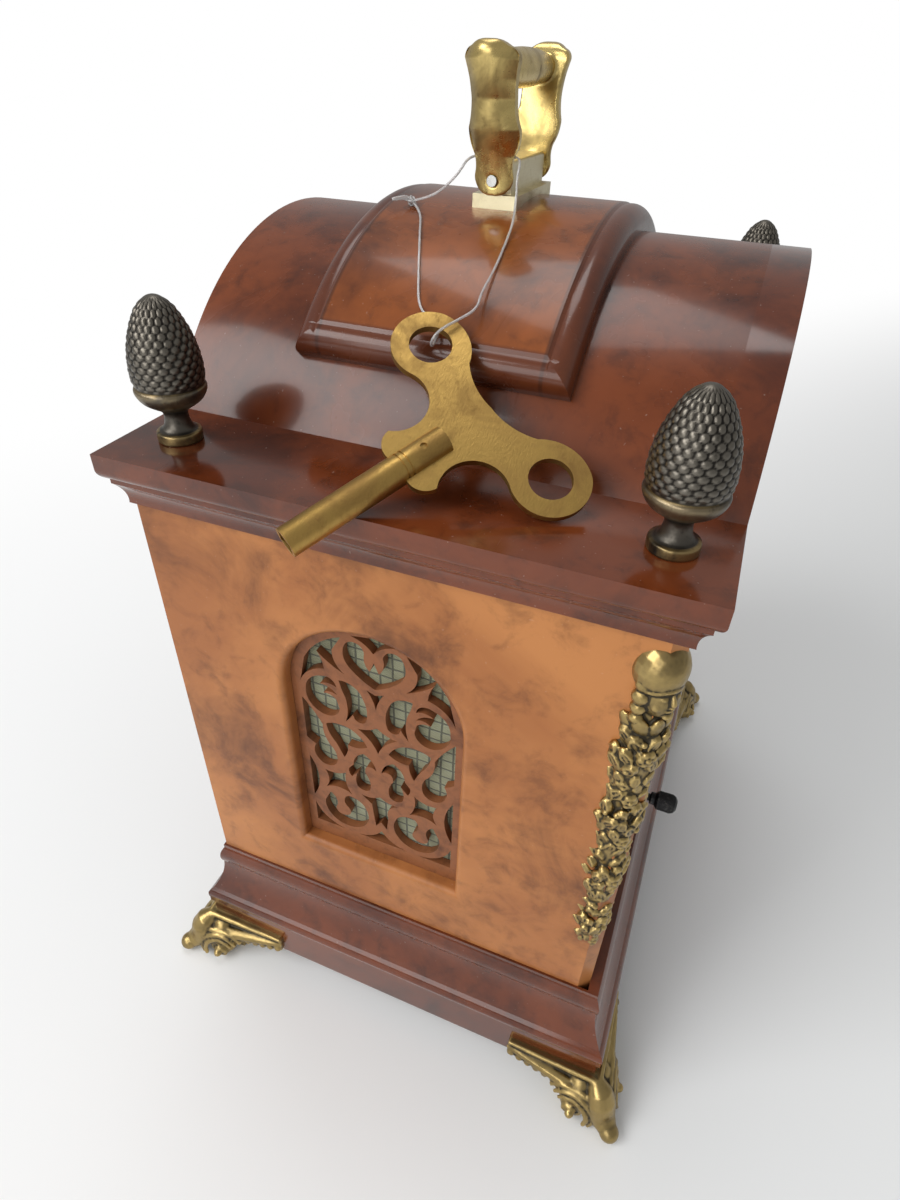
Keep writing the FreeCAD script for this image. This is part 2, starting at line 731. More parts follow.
def make_handle_base():
    """Foot plate that follows the raised field, with the block that the handle turns on."""
    plate = Part.makeBox(2 * S.foot_half, S.foot_deep, S.foot_thick + 3.0,
                         Vector(-S.foot_half, S.mid_y - S.foot_deep / 2, crown_top - 3.0))
    block = Part.makeBox(2 * S.block_half, S.block_deep, S.block_high,
                         Vector(-S.block_half, S.mid_y - S.block_deep / 2, crown_top - 0.5))
    rims = [edge for edge in block.Edges if edge.BoundBox.ZMin > crown_top + S.block_high - 1]
    block = block.makeFillet(1.2, rims)
    field = Part.makeCylinder(S.roof_radius + S.crown_rise, 100, Vector(0, S.mid_y - 50, roof_z), Y)
    base = fused([plate, block]).cut(field).cut(pin_bore(S.handle_pin, S.foot_half))
    node(shaped("handle_base_shape", base), "handle_base")
    ends = Part.makeCylinder(S.handle_pin, 2 * 22.0, pivot - X * 22.0, X)
    node(shaped("handle_pin_shape", ends), "handle_pin")


def make_handle():
    """Two leaf-shaped legs with hollow-backed ears, joined by an oval grip."""
    # a leg from the front, as distance from the middle and height above the pivot
    leaning = [
        (21.2, -4.4),
        [(22.2, 2.0), (24.6, 8.0)],
        [(27.6, 13.0), (28.8, 19.8)],
        [(31.0, 24.6), (32.0, 29.0)],
        [(31.2, 32.2), (28.6, 32.9)],
        [(25.6, 32.2), (23.4, 28.4)],
        [(20.8, 20.0), (18.7, 9.0)],
        (18.7, -4.4),
    ]
    # and from the side, as half its width and height
    lobed = both_sides((0, -3.9), [
        [(4.4, -2.6), (6.0, 1.0)],
        [(5.5, 3.6), (5.9, 6.3)],
        [(7.3, 9.5), (7.5, 12.8)],
        [(6.5, 16.2), (6.3, 19.8)],
        [(6.6, 24.4), (7.6, 28.8)],
        [(6.8, 30.6), (5.1, 31.3)],
        [(3.0, 32.6), (0, 32.9)],
    ])
    side_view = prism(on_plane(lobed, lambda u, v: pivot + Vector(-40, u, v)), X * 80)
    pieces = []
    for side in (-1, 1):
        leg = prism(on_plane(leaning, lambda u, v: pivot + Vector(side * u, -10, v)), Y * 20)
        pieces.append(leg.common(side_view))
        pieces.append(Part.makeCylinder(3.4, 2.3, pivot + X * (side * 16.6), X * side))
    grip = wire([
        pivot + Vector(-24, 0, 26.5),
        pivot + Vector(-24, 0, 26.5 + 3.2),
        pivot + Vector(-21.5, 0, 26.5 + 3.7),
        [pivot + Vector(0, 0, 26.5 + S.grip_radius), pivot + Vector(21.5, 0, 26.5 + 3.7)],
        pivot + Vector(24, 0, 26.5 + 3.2),
        pivot + Vector(24, 0, 26.5),
    ])
    pieces.append(Part.Face(grip).revolve(pivot + Z * 26.5, X, 360))
    handle = fused(pieces).cut(pin_bore(S.handle_pin + S.pin_fit, 30))
    node(shaped("handle_shape", handle), "carrying_handle")


# ---- turned and cast fittings ------------------------------------------------------------------

def make_finials():
    """Four turned finials: a base ring, a neck, a cup and a tall cone."""
    outline = [
        (0, 0),
        (6.25, 0),
        (6.25, 2.4),
        (4.2, 3.8),
        [(3.1, 6.4), (3.6, 9.6)],
        (7.6, 13.0),
        (7.6, 14.6),
        (6.2, 15.2),
        [(10.6, 21.4), (7.9, 30.0)],
        (3.0, 37.6),
        (0.8, 39.8),
        (0, 39.8),
    ]
    body = turned("finial_body", outline)
    doc.recompute()
    copies = []
    for x in (-1, 1):
        for y in (ledge_front + S.finial_in_y, ledge_back - S.finial_in_y):
            copy = body.Shape.copy()
            copy.translate(Vector(x * (case_half + S.ledge_out - S.finial_in_x), y, ledge))
            copies.append(copy)
    node(shaped("finial_shapes", Part.makeCompound(copies)), "corner_finials")


def foot_half_shape(place_at, length, reach):
    """One wing of a foot: its section along the plinth, its scrolled elevation and the mitre."""
    section = [
        (-16.0, 0),
        (reach - 0.8, 0),
        [(reach, 1.0), (reach - 1.4, 2.6)],
        [(8.2, 5.6), (5.2, 11.0)],
        [(6.0, 16.6), (3.4, 20.8)],
        [(1.8, 22.6), (0, 22.4)],
        (0, S.plinth_low),
        (-16.0, S.plinth_low),
    ]
    elevation = [
        (reach, 0),
        (reach, 24.0),
        (-length + 6.0, 24.0),
        [(-length + 1.6, 22.4), (-length, 18.4)],
        [(-length + 6.0, 18.0), (-length + 9.0, 13.6)],
        [(-length + 14.0, 13.2), (-length + 17.4, 8.4)],
        [(-length + 22.0, 5.4), (-length + 25.0, 0)],
    ]
    run = prism([[place_at(p[0], -length, p[1]) for p in step] if isinstance(step, list)
                 else place_at(step[0], -length, step[1]) for step in section],
                place_at(0, reach, 0) - place_at(0, -length, 0))
    cutter = prism([[place_at(-17.0, p[0], p[1]) for p in step] if isinstance(step, list)
                    else place_at(-17.0, step[0], step[1]) for step in elevation],
                   place_at(reach, 0, 0) - place_at(-17.0, 0, 0))
    wedge = prism([place_at(-60, -60, -1), place_at(30, 30, -1), place_at(30, -60, -1)],
                  place_at(0, 0, 30) - place_at(0, 0, 0))
    return run.common(cutter).common(wedge)


def make_foot(side_x, side_y, label):
    """Cast bracket foot that wraps a plinth corner, spread at the toe, with a scroll on each face."""
    corner_x = case_half + S.base_out - S.plinth_set
    corner_y = base_half + S.base_out - S.plinth_set
    reach = S.foot_out + S.plinth_set

    def along_x(a, b, z):
        return Vector(side_x * (corner_x + a), side_y * (corner_y + b), z)

    def along_y(a, b, z):
        return Vector(side_x * (corner_x + b), side_y * (corner_y + a), z)

    pieces = [foot_half_shape(along_x, S.foot_wing, reach), foot_half_shape(along_y, S.foot_wing, reach)]
    for place_at, outward in ((along_x, X * side_x), (along_y, Y * side_y)):
        pieces.append(Part.makeCylinder(3.4, 5.0, place_at(3.0, -12.0, 15.4), outward))
    node(shaped("foot_" + label, fused(pieces)), label + "_foot")


def make_mount(side, label):
    """Cast drop of husks and flowers that wraps the canted corner and tapers to a bud."""
    outline = [
        (0, 0),
        (4.4, 1.0),
        (6.4, 10.0),
        (5.8, 18.0),
        (7.6, 26.0),
        (6.8, 42.0),
        [(9.0, 53.0), (7.4, 63.0)],
        [(9.8, 76.0), (8.0, 90.0)],
        (9.4, 98.0),
        (8.2, 112.0),
        [(11.6, 124.0), (9.4, 135.0)],
        (5.0, 140.0),
        (0, 140.0),
    ]
    body = turned("mount_body_" + label, outline)
    doc.recompute()
    drop = body.Shape.copy()
    inset = 0.5 * S.cant + 2.83
    drop.translate(Vector(side * (case_half - inset), front + inset, S.mount_low))
    near = case_half - S.cant
    case = prism([
        Vector(side * 60, front, S.mount_low - 5),
        Vector(side * near, front, S.mount_low - 5),
        Vector(side * case_half, front + S.cant, S.mount_low - 5),
        Vector(side * case_half, front + 60, S.mount_low - 5),
        Vector(side * 60, front + 60, S.mount_low - 5),
    ], Z * 160)
    clear_half = case_half - S.mount_reach
    clear = Part.makeBox(2 * clear_half, 40, 200, Vector(-clear_half, front - 40, S.mount_low - 10))
    node(shaped("mount_" + label, drop.cut(case).cut(clear)), label + "_corner_mount")


# ---- doors -------------------------------------------------------------------------------------



def hinge(edge_x, face_y, outward, toward_door, low, wide):
    """Both leaves and the pin of one hinge that stands on a face, as (case leaf, door leaf)."""
    axis = Vector(edge_x + toward_door * -0.75, face_y + outward * (S.hinge_knuckle + 0.1), 0)
    leaves = []
    for towards, knuckles in ((-toward_door, ((0, 8.0), (16.0, 8.0))), (toward_door, ((8.1, 7.8),))):
        x0 = axis.x + 0.05 * towards if towards > 0 else axis.x - 0.05 - S.hinge_leaf
        face = axis.y - outward * S.hinge_knuckle
        far = face - outward * wide
        pieces = [Part.makeBox(S.hinge_leaf, abs(far - face), 24.0, Vector(x0, min(face, far), low))]
        for start, length in knuckles:
            y0 = min(axis.y, face)
            pieces.append(Part.makeBox(S.hinge_leaf, abs(axis.y - face) + 0.2, length,
                                       Vector(x0, y0 - 0.1, low + start)))
            pieces.append(Part.makeCylinder(S.hinge_knuckle, length, axis + Z * (low + start)))
        leaves.append(fused(pieces))
    pin = Part.makeCylinder(S.pin_radius, 24.0, axis + Z * low)
    case_leaf = fused([leaves[0], pin])
    door_leaf = leaves[1].cut(Part.makeCylinder(S.pin_radius + S.pin_fit, 26.0, axis + Z * (low - 1)))
    return case_leaf, door_leaf


def make_front_door():
    """Broken-arch frame with a rebate for the glass and the bead that holds it."""
    y0 = front
    y1 = door_back
    seat = y1 - S.rebate
    board = prism(door_outline(door_half, S.door_low, S.door_high, S.arch_radius, y0), Y * S.door_thick)
    board = board.cut(opening(0, y0 - 1, y1 + 1)).cut(opening(S.glass_over, seat, y1 + 1))
    shank = Part.makeCylinder(S.pin_radius, 12.0, Vector(-knob_x, front - 1, S.knob_z), Y)
    node(shaped("door_shape", board.cut(shank)), "front_door_frame")
    pane = opening(S.glass_over - 0.2, seat, seat + S.glass_thick)
    node(shaped("glass_shape", pane), "front_door_glass")
    bead = opening(S.glass_over - 0.2, seat + S.glass_thick, y1).cut(opening(0.2, seat, y1 + 1))
    node(shaped("bead_shape", bead), "glazing_bead")


def make_knob():
    """Small knurled pull in a thin backing plate."""
    centre = Vector(-knob_x, front, S.knob_z)

    def at(radius, proud):
        return centre + X * radius - Y * proud

    outline = wire([
        at(0, -10.5),
        at(S.pin_radius, -10.5),
        at(S.pin_radius, 0.8),
        at(1.9, 0.8),
        at(1.9, 4.6),
        at(S.knob_radius - 0.4, 5.2),
        [at(S.knob_radius, 7.4), at(S.knob_radius - 0.5, 9.6)],
        [at(1.6, S.knob_out - 0.2), at(0.5, S.knob_out)],
        at(0, S.knob_out),
    ])
    node(shaped("knob_shape", Part.Face(outline).revolve(centre, Y, 360)), "door_knob")
    plate = prism(on_plane(both_sides((0, -8.7), [
        [(3.2, -7.4), (3.6, -4.0)],
        [(2.8, 0), (3.6, 4.0)],
        [(3.2, 7.4), (0, 8.7)],
    ]), lambda u, v: centre + Vector(u, 0, v)), Y * -0.8)
    plate = plate.cut(Part.makeCylinder(S.pin_radius + 0.02, 4, centre + Y * 2, -Y))
    node(shaped("knob_plate_shape", plate), "knob_plate")


def make_back_door():
    board = box("back_door_board", "-%s" % BACK_HALF, BACK_HALF, BACK + " - panel_thick", BACK,
                "back_low", "back_high")
    hole = rod("back_knob_hole", "pin_radius", "12", BACK_HALF + " - 12", BACK + " - 6", "knob_z", Y)
    node(cut("back_door_cut", board, hole), "back_door")
    centre = Vector(back_half - 12, back, S.knob_z)
    outline = wire([
        centre - Y * 6,
        centre + Vector(S.pin_radius, -6, 0),
        centre + Vector(S.pin_radius, 0, 0),
        centre + Vector(3.6, 0, 0),
        centre + Vector(3.2, 3.0, 0),
        centre + Vector(5.0, 6.4, 0),
        centre + Vector(2.6, 10.0, 0),
        centre + Y * 10.0,
    ])
    node(shaped("back_knob_shape", Part.Face(outline).revolve(centre, Y, 360)), "back_door_knob")


def make_hinges():
    """Two hinges on each door.  The case leaves carry the pins."""
    case_leaves = []
    front_leaves = []
    back_leaves = []
    for low in (S.door_low + 22, S.door_high - 46):
        case_leaf, door_leaf = hinge(door_half, front, -1, -1, low, 10.0)
        case_leaves.append(case_leaf)
        front_leaves.append(door_leaf)
    for low in (S.back_low + 16, S.back_high - 40):
        case_leaf, door_leaf = hinge(-back_half, back, 1, 1, low, 6.0)
        case_leaves.append(case_leaf)
        back_leaves.append(door_leaf)
    node(shaped("case_leaf_shapes", Part.makeCompound(case_leaves)), "hinge_case_leaves")
    node(shaped("front_leaf_shapes", Part.makeCompound(front_leaves)), "front_door_hinge_leaves")
    node(shaped("back_leaf_shapes", Part.makeCompound(back_leaves)), "back_door_hinge_leaves")


# ---- dial --------------------------------------------------------------------------------------

dial_front = mask_back
dial_back = dial_front + S.dial_thick
plate_y = mask_front + S.plate_front
rear_y = plate_y + S.plate_thick + S.plate_gap


def around(x, y, z):
    """A place measured from the centre of the hands."""
    return Vector(x, y, S.dial_z + z)


def shaft(radius, x, z, y0, y1):
    return Part.makeCylinder(radius, y1 - y0, around(x, y0, z), Y)


def make_dial():
    """Broken-arch dial plate, silvered chapter ring, arch boss and corner spandrels."""
    plate = prism(door_outline(dial_half, S.dial_low, S.dial_high, S.dial_arch, dial_front),
                  Y * S.dial_thick)
    holes = [shaft(3.7, 0, 0, dial_front - 1, dial_back + 1)]
    for side in (-1, 1):
        holes.append(shaft(4.4, side * S.barrel_x, -S.barrel_drop, dial_front - 4, dial_back + 1))
    dial = plate.cut(Part.makeCompound(holes))
    node(shaped("dial_shape", dial), "dial_plate")
    ring = shaft(S.ring_outer, 0, 0, dial_front - S.ring_thick, dial_front)
    ring = ring.cut(shaft(S.ring_inner, 0, 0, dial_front - 3, dial_back))
    node(shaped("ring_shape", ring.cut(Part.makeCompound(holes[1:]))), "chapter_ring")
    boss = Part.makeCone(S.boss_radius, S.boss_radius - 1.5, 1.4, around(0, dial_front, S.boss_rise), -Y)
    node(shaped("boss_shape", boss), "arch_boss")
    spandrels = []
    for sx in (-1, 1):
        for sz in (-1, 1):
            outline = [
                (sx * 74, sz * 60),
                (sx * 41, sz * 60),
                [(sx * 45.4, sz * 53.6), (sx * 50.0, sz * 51.0)],
                [(sx * 51.0, sz * 45.6), (sx * 57.4, sz * 43.4)],
                [(sx * 60.4, sz * 38.0), (sx * 65.4, sz * 34.6)],
                [(sx * 68.6, sz * 28.6), (sx * 74, sz * 25)],
            ]
            points = on_plane(outline, lambda u, v: around(u, dial_front, v))
            spandrels.append(prism(points, Y * -1.2))
    node(shaped("spandrel_shapes", Part.makeCompound(spandrels)), "dial_spandrels")


def hand(y, thick, eye, half_outline):
    """A pierced hand that points up, from its round eye and half of its outline."""
    blade = prism(on_plane(both_sides(half_outline[0], half_outline[1:]), lambda u, v: around(u, y, v)),
                  Y * thick)
    return fused([blade, shaft(eye, 0, 0, y, y + thick)])


def make_hands():
    """Hour and minute hands, one behind the other, the minute hand with its collet."""
    hour = hand(hour_y, 0.8, 5.0, [
        (0, 3.0),
        (1.2, 3.0),
        (1.2, 12.0),
        [(4.0, 14.0), (5.6, 18.4)],
        [(4.6, 23.0), (1.8, 25.6)],
        [(3.6, 28.6), (2.6, 31.6)],
        (0, 39.0),
    ])
    hole = prism(on_plane(both_sides((0, 15.6), [[(2.8, 16.2), (3.6, 18.8)], [(2.4, 22.4), (0, 23.6)]]),
                          lambda u, v: around(u, hour_y - 1, v)), Y * 3)
    node(shaped("hour_hand_shape", hour.cut(hole).cut(shaft(S.pipe_radius + 0.6, 0, 0, hour_y - 1, hour_y + 2))),
         "hour_hand")
    minute = hand(minute_y, 0.8, 4.0, [
        (0, 3.0),
        (0.9, 3.0),
        (0.9, 20.0),
        [(2.9, 22.0), (3.2, 25.6)],
        [(2.4, 29.0), (1.3, 31.0)],
        (0.5, 53.0),
        (0, 57.0),
    ])
    collet = Part.makeCone(2.4, 3.2, 1.6, around(0, minute_y - 1.6, 0), Y)
    eye = shaft(S.arbor_radius, 0, 0, minute_y - 2, minute_y + 2)
    node(shaped("minute_hand_shape", fused([minute, collet]).cut(eye)), "minute_hand")


# ---- movement ----------------------------------------------------------------------------------

hour_y = dial_front - S.ring_thick - 2.4
minute_y = hour_y - 1.8
motion_y = plate_y - 2.9
centre_at = (0, 0)
third_at = (-8.0, 23.9)
escape_at = (12.9, 32.0)
motion_at = (0, -19.2)
balance_at = (30.0, 30.0)
great_teeth = 36
wheel_teeth = int(S.wheel_teeth)
leaves = int(S.pinion_leaves)
centre_leaves = 9
cannon_teeth = 8
motion_teeth = 24


def apart(first, second):
    return math.hypot(second[0] - first[0], second[1] - first[1])


great_at = (S.barrel_x, -S.barrel_drop)
great_module = 2 * apart(centre_at, great_at) / (great_teeth + centre_leaves)
centre_module = 2 * apart(centre_at, third_at) / (wheel_teeth + leaves)
third_module = 2 * apart(third_at, escape_at) / (wheel_teeth + leaves)
cannon_module = 2 * apart(centre_at, motion_at) / (cannon_teeth + motion_teeth)
hour_module = 2 * apart(centre_at, motion_at) / (leaves + motion_teeth)


def meshed(teeth_a, phase_a, at_a, teeth_b, at_b):
    """The phase that puts the gaps of wheel B at the teeth of wheel A on their line of centres."""
    line = math.atan2(at_b[0] - at_a[0], at_b[1] - at_a[1])
    tooth_a = line * teeth_a / (2 * math.pi) - phase_a
    return (tooth_a + (line + math.pi) * teeth_b / (2 * math.pi) - 0.5) % 1.0


centre_y = rear_y - 12.0
third_y = plate_y + 24.0
escape_y = plate_y + 34.0


def toothed(teeth, module, at, y, thick, phase=0.0, share=0.40):
    """A wheel of pointed teeth.  The phase turns it by parts of a tooth."""
    pitch = teeth * module / 2
    tip = pitch + 0.72 * module
    root = pitch - 1.05 * module
    step = 2 * math.pi / teeth
    points = []
    for index in range(teeth):
        middle = (index + phase) * step
        for radius, angle in ((root, -0.30), (pitch, -share / 2), (tip, -0.06),
                              (tip, 0.06), (pitch, share / 2), (root, 0.30)):
            turn = middle + angle * step
            points.append(around(at[0] + radius * math.sin(turn), y, at[1] + radius * math.cos(turn)))
    return prism(points, Y * thick)


def spoked(wheel, at, y, thick, rim, hub, spokes):
    """Crosses out a wheel: openings between its rim, its hub and straight spokes."""
    ring = shaft(rim, at[0], at[1], y - 1, y + thick + 1)
    ring = ring.cut(shaft(hub, at[0], at[1], y - 2, y + thick + 2))
    bars = []
    for index in range(spokes):
        bar = Part.makeBox(2.0, thick + 4, rim + 2, around(at[0] - 1.0, y - 2, at[1]))
        bar.rotate(around(at[0], y, at[1]), Y, 360.0 * index / spokes)
        bars.append(bar)
    return wheel.cut(ring.cut(Part.makeCompound(bars)))


def balance_cock():
    """Bracket on the back plate that holds the outer end of the balance staff."""
    x, z = balance_at
    start = rear_y + S.plate_thick
    cock = fused([
        Part.makeBox(8.0, 9.2, 6.0, around(x - 4.0, start, z + S.balance_radius + 2.0)),
        Part.makeBox(6.0, 1.6, S.balance_radius + 7.0, around(x - 3.0, start + 7.6, z - 3.0)),
    ])
    return cock.cut(shaft(0.8 + S.pin_fit, x, z, start, start + 12))


def make_plates():
    """The two plates, drilled for the arbors, with the pillars between them and the seat board."""
    low = S.dial_z - S.plate_high / 2
    holes = [(centre_at, S.arbor_radius), (third_at, S.arbor_radius), (escape_at, S.arbor_radius),
             ((S.hammer_x, S.hammer_z), S.arbor_radius)]
    for label, y in (("front_plate", plate_y), ("back_plate", rear_y)):
        board = Part.makeBox(2 * S.plate_half, S.plate_thick, S.plate_high, Vector(-S.plate_half, y, low))
        bores = [shaft(radius + S.pin_fit, at[0], at[1], y - 1, y + S.plate_thick + 1) for at, radius in holes]
        for side in (-1, 1):
            bores.append(shaft(S.barrel_arbor + S.pin_fit, side * S.barrel_x, -S.barrel_drop,
                               y - 1, y + S.plate_thick + 1))
        if label == "back_plate":
            bores.append(shaft(0.85, *balance_at, y - 1, y + S.plate_thick + 1))
        board = board.cut(Part.makeCompound(bores))
        if label == "front_plate":
            board = fused([board, shaft(S.post_radius, *motion_at, motion_y - 5.2, plate_y),
                           shaft(S.post_radius + 1, *motion_at, motion_y - 6.0, motion_y - 5.0)])
        else:
            board = fused([board, balance_cock()])
        node(shaped(label + "_shape", board), label)
    pillars = []
    start = plate_y + S.plate_thick
    for side in (-1, 1):
        for up in (-1, 1):
            x = side * S.pillar_x
            z = up * S.pillar_z
            pillars.append(fused([
                shaft(3.0, x, z, start, rear_y),
                shaft(4.6, x, z, start, start + 3),
                shaft(4.6, x, z, rear_y - 3, rear_y),
            ]))
    node(shaped("pillar_shapes", Part.makeCompound(pillars)), "plate_pillars")
    inner = case_half - S.panel_thick
    seat_low = low - S.seat_thick
    board = [Part.makeBox(2 * inner - 2.4, 70.0, S.seat_thick, Vector(1.2 - inner, plate_y - 6, seat_low))]
    for side in (-1, 1):
        x0 = min(side * inner, side * (inner - 12.0))
        board.append(Part.makeBox(12.0, 70.0, 9.0, Vector(x0, plate_y - 6, seat_low - 9.0)))
    node(shaped("seat_shape", fused(board)), "seat_board")


def make_barrel(side, label, wheel_y, phase):
    """Spring barrel with its great wheel and the winding square that reaches the dial."""
    at = (side * S.barrel_x, -S.barrel_drop)
    drum_start = plate_y + S.plate_thick + 6.0
    small = S.square - 0.4
    square = Part.makeBox(small, 9.0, small, around(at[0] - small / 2, dial_front + 1.0, at[1] - small / 2))
    pieces = [
        toothed(great_teeth, great_module, at, wheel_y, 2.4, phase),
        shaft(S.barrel_radius, *at, drum_start, drum_start + S.barrel_wide),
        shaft(S.barrel_arbor, *at, dial_front + 9.0, rear_y + S.plate_thick + 2),
        square,
    ]
    node(shaped(label + "_shape", fused(pieces)), label)


def wheel_and_pinion(at, y, teeth, module, crossing, pinion):
    """A crossed-out wheel on its arbor with a pinion, given as leaves, module, place, length, phase."""
    rim, hub, spokes = crossing
    wheel = spoked(toothed(teeth, module, at, y, S.wheel_thick), at, y, S.wheel_thick, rim, hub, spokes)
    count, size, start, long, phase = pinion
    return [wheel, toothed(count, size, at, start, long, phase)]


def make_train():
    """Centre, third and escape wheels on their arbors, each with the pinion that drives it."""
    end = rear_y + S.plate_thick
    great_y = plate_y + S.plate_thick + 1.5
    longer = S.wheel_thick + 2.4
    pieces = wheel_and_pinion(centre_at, centre_y, wheel_teeth, centre_module, (17.0, 5.0, 4),
                              (centre_leaves, great_module, great_y - 1.0, 4.4, 0))
    pieces.append(shaft(S.arbor_radius, *centre_at, minute_y - 1.2, end))
    # the cannon pinion and its pipe sit on the same arbor, in front of the plate
    pieces.append(toothed(cannon_teeth, cannon_module, centre_at, motion_y, S.wheel_thick + 0.8))
    pieces.append(shaft(S.pipe_radius, *centre_at, minute_y + 0.8, motion_y + S.wheel_thick))
    node(shaped("centre_shape", fused(pieces)), "centre_wheel")
    phase = meshed(wheel_teeth, 0, centre_at, leaves, third_at)
    pieces = wheel_and_pinion(third_at, third_y, wheel_teeth, third_module, (15.0, 4.0, 4),
                              (leaves, centre_module, centre_y - 1.2, longer, phase))
    pieces.append(shaft(S.arbor_radius, *third_at, plate_y, end))
    node(shaped("third_shape", fused(pieces)), "third_wheel")
    phase = meshed(wheel_teeth, 0, third_at, leaves, escape_at)
    pieces = wheel_and_pinion(escape_at, escape_y, 15, 1.2, (6.4, 2.6, 3),
                              (leaves, third_module, third_y - 1.2, longer, phase))
    pieces.append(shaft(S.arbor_radius, *escape_at, plate_y, end))
    node(shaped("escape_shape", fused(pieces)), "escape_wheel")
    make_barrel(1, "time_barrel", great_y, meshed(centre_leaves, 0, centre_at, great_teeth, great_at))
    make_barrel(-1, "strike_barrel", rear_y - 4.0, 0)


def make_motion_work():
    """The minute wheel and the hour wheel in front of the front plate."""
    thick = S.wheel_thick
    phase = meshed(cannon_teeth, 0, centre_at, motion_teeth, motion_at)
    wheel = toothed(motion_teeth, cannon_module, motion_at, motion_y, thick, phase)
    wheel = spoked(wheel, motion_at, motion_y, thick, 10.6, 4.0, 3)
    pinion = toothed(leaves, hour_module, motion_at, motion_y - 4.4, 4.6)
    motion = fused([wheel, pinion]).cut(shaft(S.post_radius + S.pin_fit, *motion_at, motion_y - 6, motion_y + 6))
    node(shaped("motion_shape", motion), "minute_wheel")
    phase = meshed(leaves, 0, motion_at, motion_teeth, centre_at)
    hour_wheel_y = motion_y - 3.6
    pipe = shaft(S.pipe_radius + 0.6, *centre_at, hour_y, hour_wheel_y + 0.8)
    wheel = fused([toothed(motion_teeth, hour_module, centre_at, hour_wheel_y, thick, phase), pipe])
    wheel = wheel.cut(shaft(S.pipe_radius + S.pin_fit, *centre_at, hour_y - 1, motion_y + 4))
    node(shaped("hour_wheel_shape", wheel), "hour_wheel")


def make_balance():
    """Balance wheel between the back plate and its cock."""
    y = rear_y + S.plate_thick + 3.0
    x, z = balance_at
    radius = S.balance_radius
    rim = shaft(radius, x, z, y, y + 1.4).cut(shaft(radius - 1.6, x, z, y - 1, y + 3))
    bar = Part.makeBox(2 * radius - 2, 1.4, 1.6, around(x - radius + 1, y, z - 0.8))
    staff = shaft(0.8, x, z, rear_y + 0.5, y + 5.8)
    node(shaped("balance_shape", fused([rim, bar, staff])), "balance_wheel")


def make_bell():
    """Dish bell on its stand above the plates, and the hammer that strikes its rim."""
    rim_z = S.bell_low
    radius = S.bell_radius
    centre = Vector(0, S.bell_y, rim_z)

    def at(r, rise):
        return centre + X * r + Z * rise

    outline = wire([
        at(radius, 0),
        [at(radius - 4.0, 13.0), at(radius - 15.0, 20.6)],
        at(2.0, 22.4),
        at(2.0, 20.8),
        at(radius - 15.6, 19.0),
        [at(radius - 5.8, 12.0), at(radius - 2.2, 0)],
    ])
    node(shaped("bell_shape", Part.Face(outline).revolve(centre, Z, 360)), "bell")
    back_y = rear_y + S.plate_thick
    top = rim_z + 25.0
    foot_z = S.dial_z + 34.0
    pieces = [
        Part.makeCylinder(2.0, top + 2.4 - foot_z, Vector(0, back_y + 2.6, foot_z)),
        Part.makeBox(8.0, 4.6, 10.0, Vector(-4.0, back_y, foot_z)),
        Part.makeBox(5.0, back_y + 4.6 - (S.bell_y - 3.0), 2.4, Vector(-2.5, S.bell_y - 3.0, top)),
        Part.makeCylinder(1.9, top - rim_z - 17.0, Vector(0, S.bell_y, rim_z + 17.4)),
        Part.makeCylinder(3.4, top - rim_z - 22.4, Vector(0, S.bell_y, rim_z + 22.4)),
        Part.makeCylinder(3.4, 1.8, Vector(0, S.bell_y, rim_z + 18.8)),
    ]
    node(shaped("stand_shape", fused(pieces)), "bell_stand")
    base = around(S.hammer_x, S.bell_y, S.hammer_z)
    head_z = rim_z + 2.0
    arm_shape = Part.makeCylinder(1.0, head_z - base.z, base)
    head = Part.makeCylinder(3.0, 8.0, Vector(S.hammer_x - 4.0, S.bell_y, head_z), X)
    pieces = [shaft(S.arbor_radius, S.hammer_x, S.hammer_z, plate_y, rear_y + S.plate_thick),
              shaft(3.0, S.hammer_x, S.hammer_z, S.bell_y - 3.0, S.bell_y + 3.0), arm_shape, head]
    node(shaped("hammer_shape", fused(pieces)), "hammer")


# ---- key and thread ----------------------------------------------------------------------------

# The key leans on the roof: where its open end lies, and the directions of its barrel and its face.
KEY_END = Vector(-132.5, 15.5, 247.9)
KEY_ALONG = Vector(0.79, -0.52, 0.32).normalize()
KEY_FACE = (Vector(-0.5, -0.24, 0.83) - KEY_ALONG * KEY_ALONG.dot(Vector(-0.5, -0.24, 0.83))).normalize()
KEY_ACROSS = KEY_FACE.cross(KEY_ALONG)


def key_point(along, across, up=0.0):
    return KEY_END + KEY_ALONG * along + KEY_ACROSS * across + KEY_FACE * up


def key_rod(radius, start, end):
    return Part.makeCylinder(radius, end - start, key_point(start, 0), KEY_ALONG)


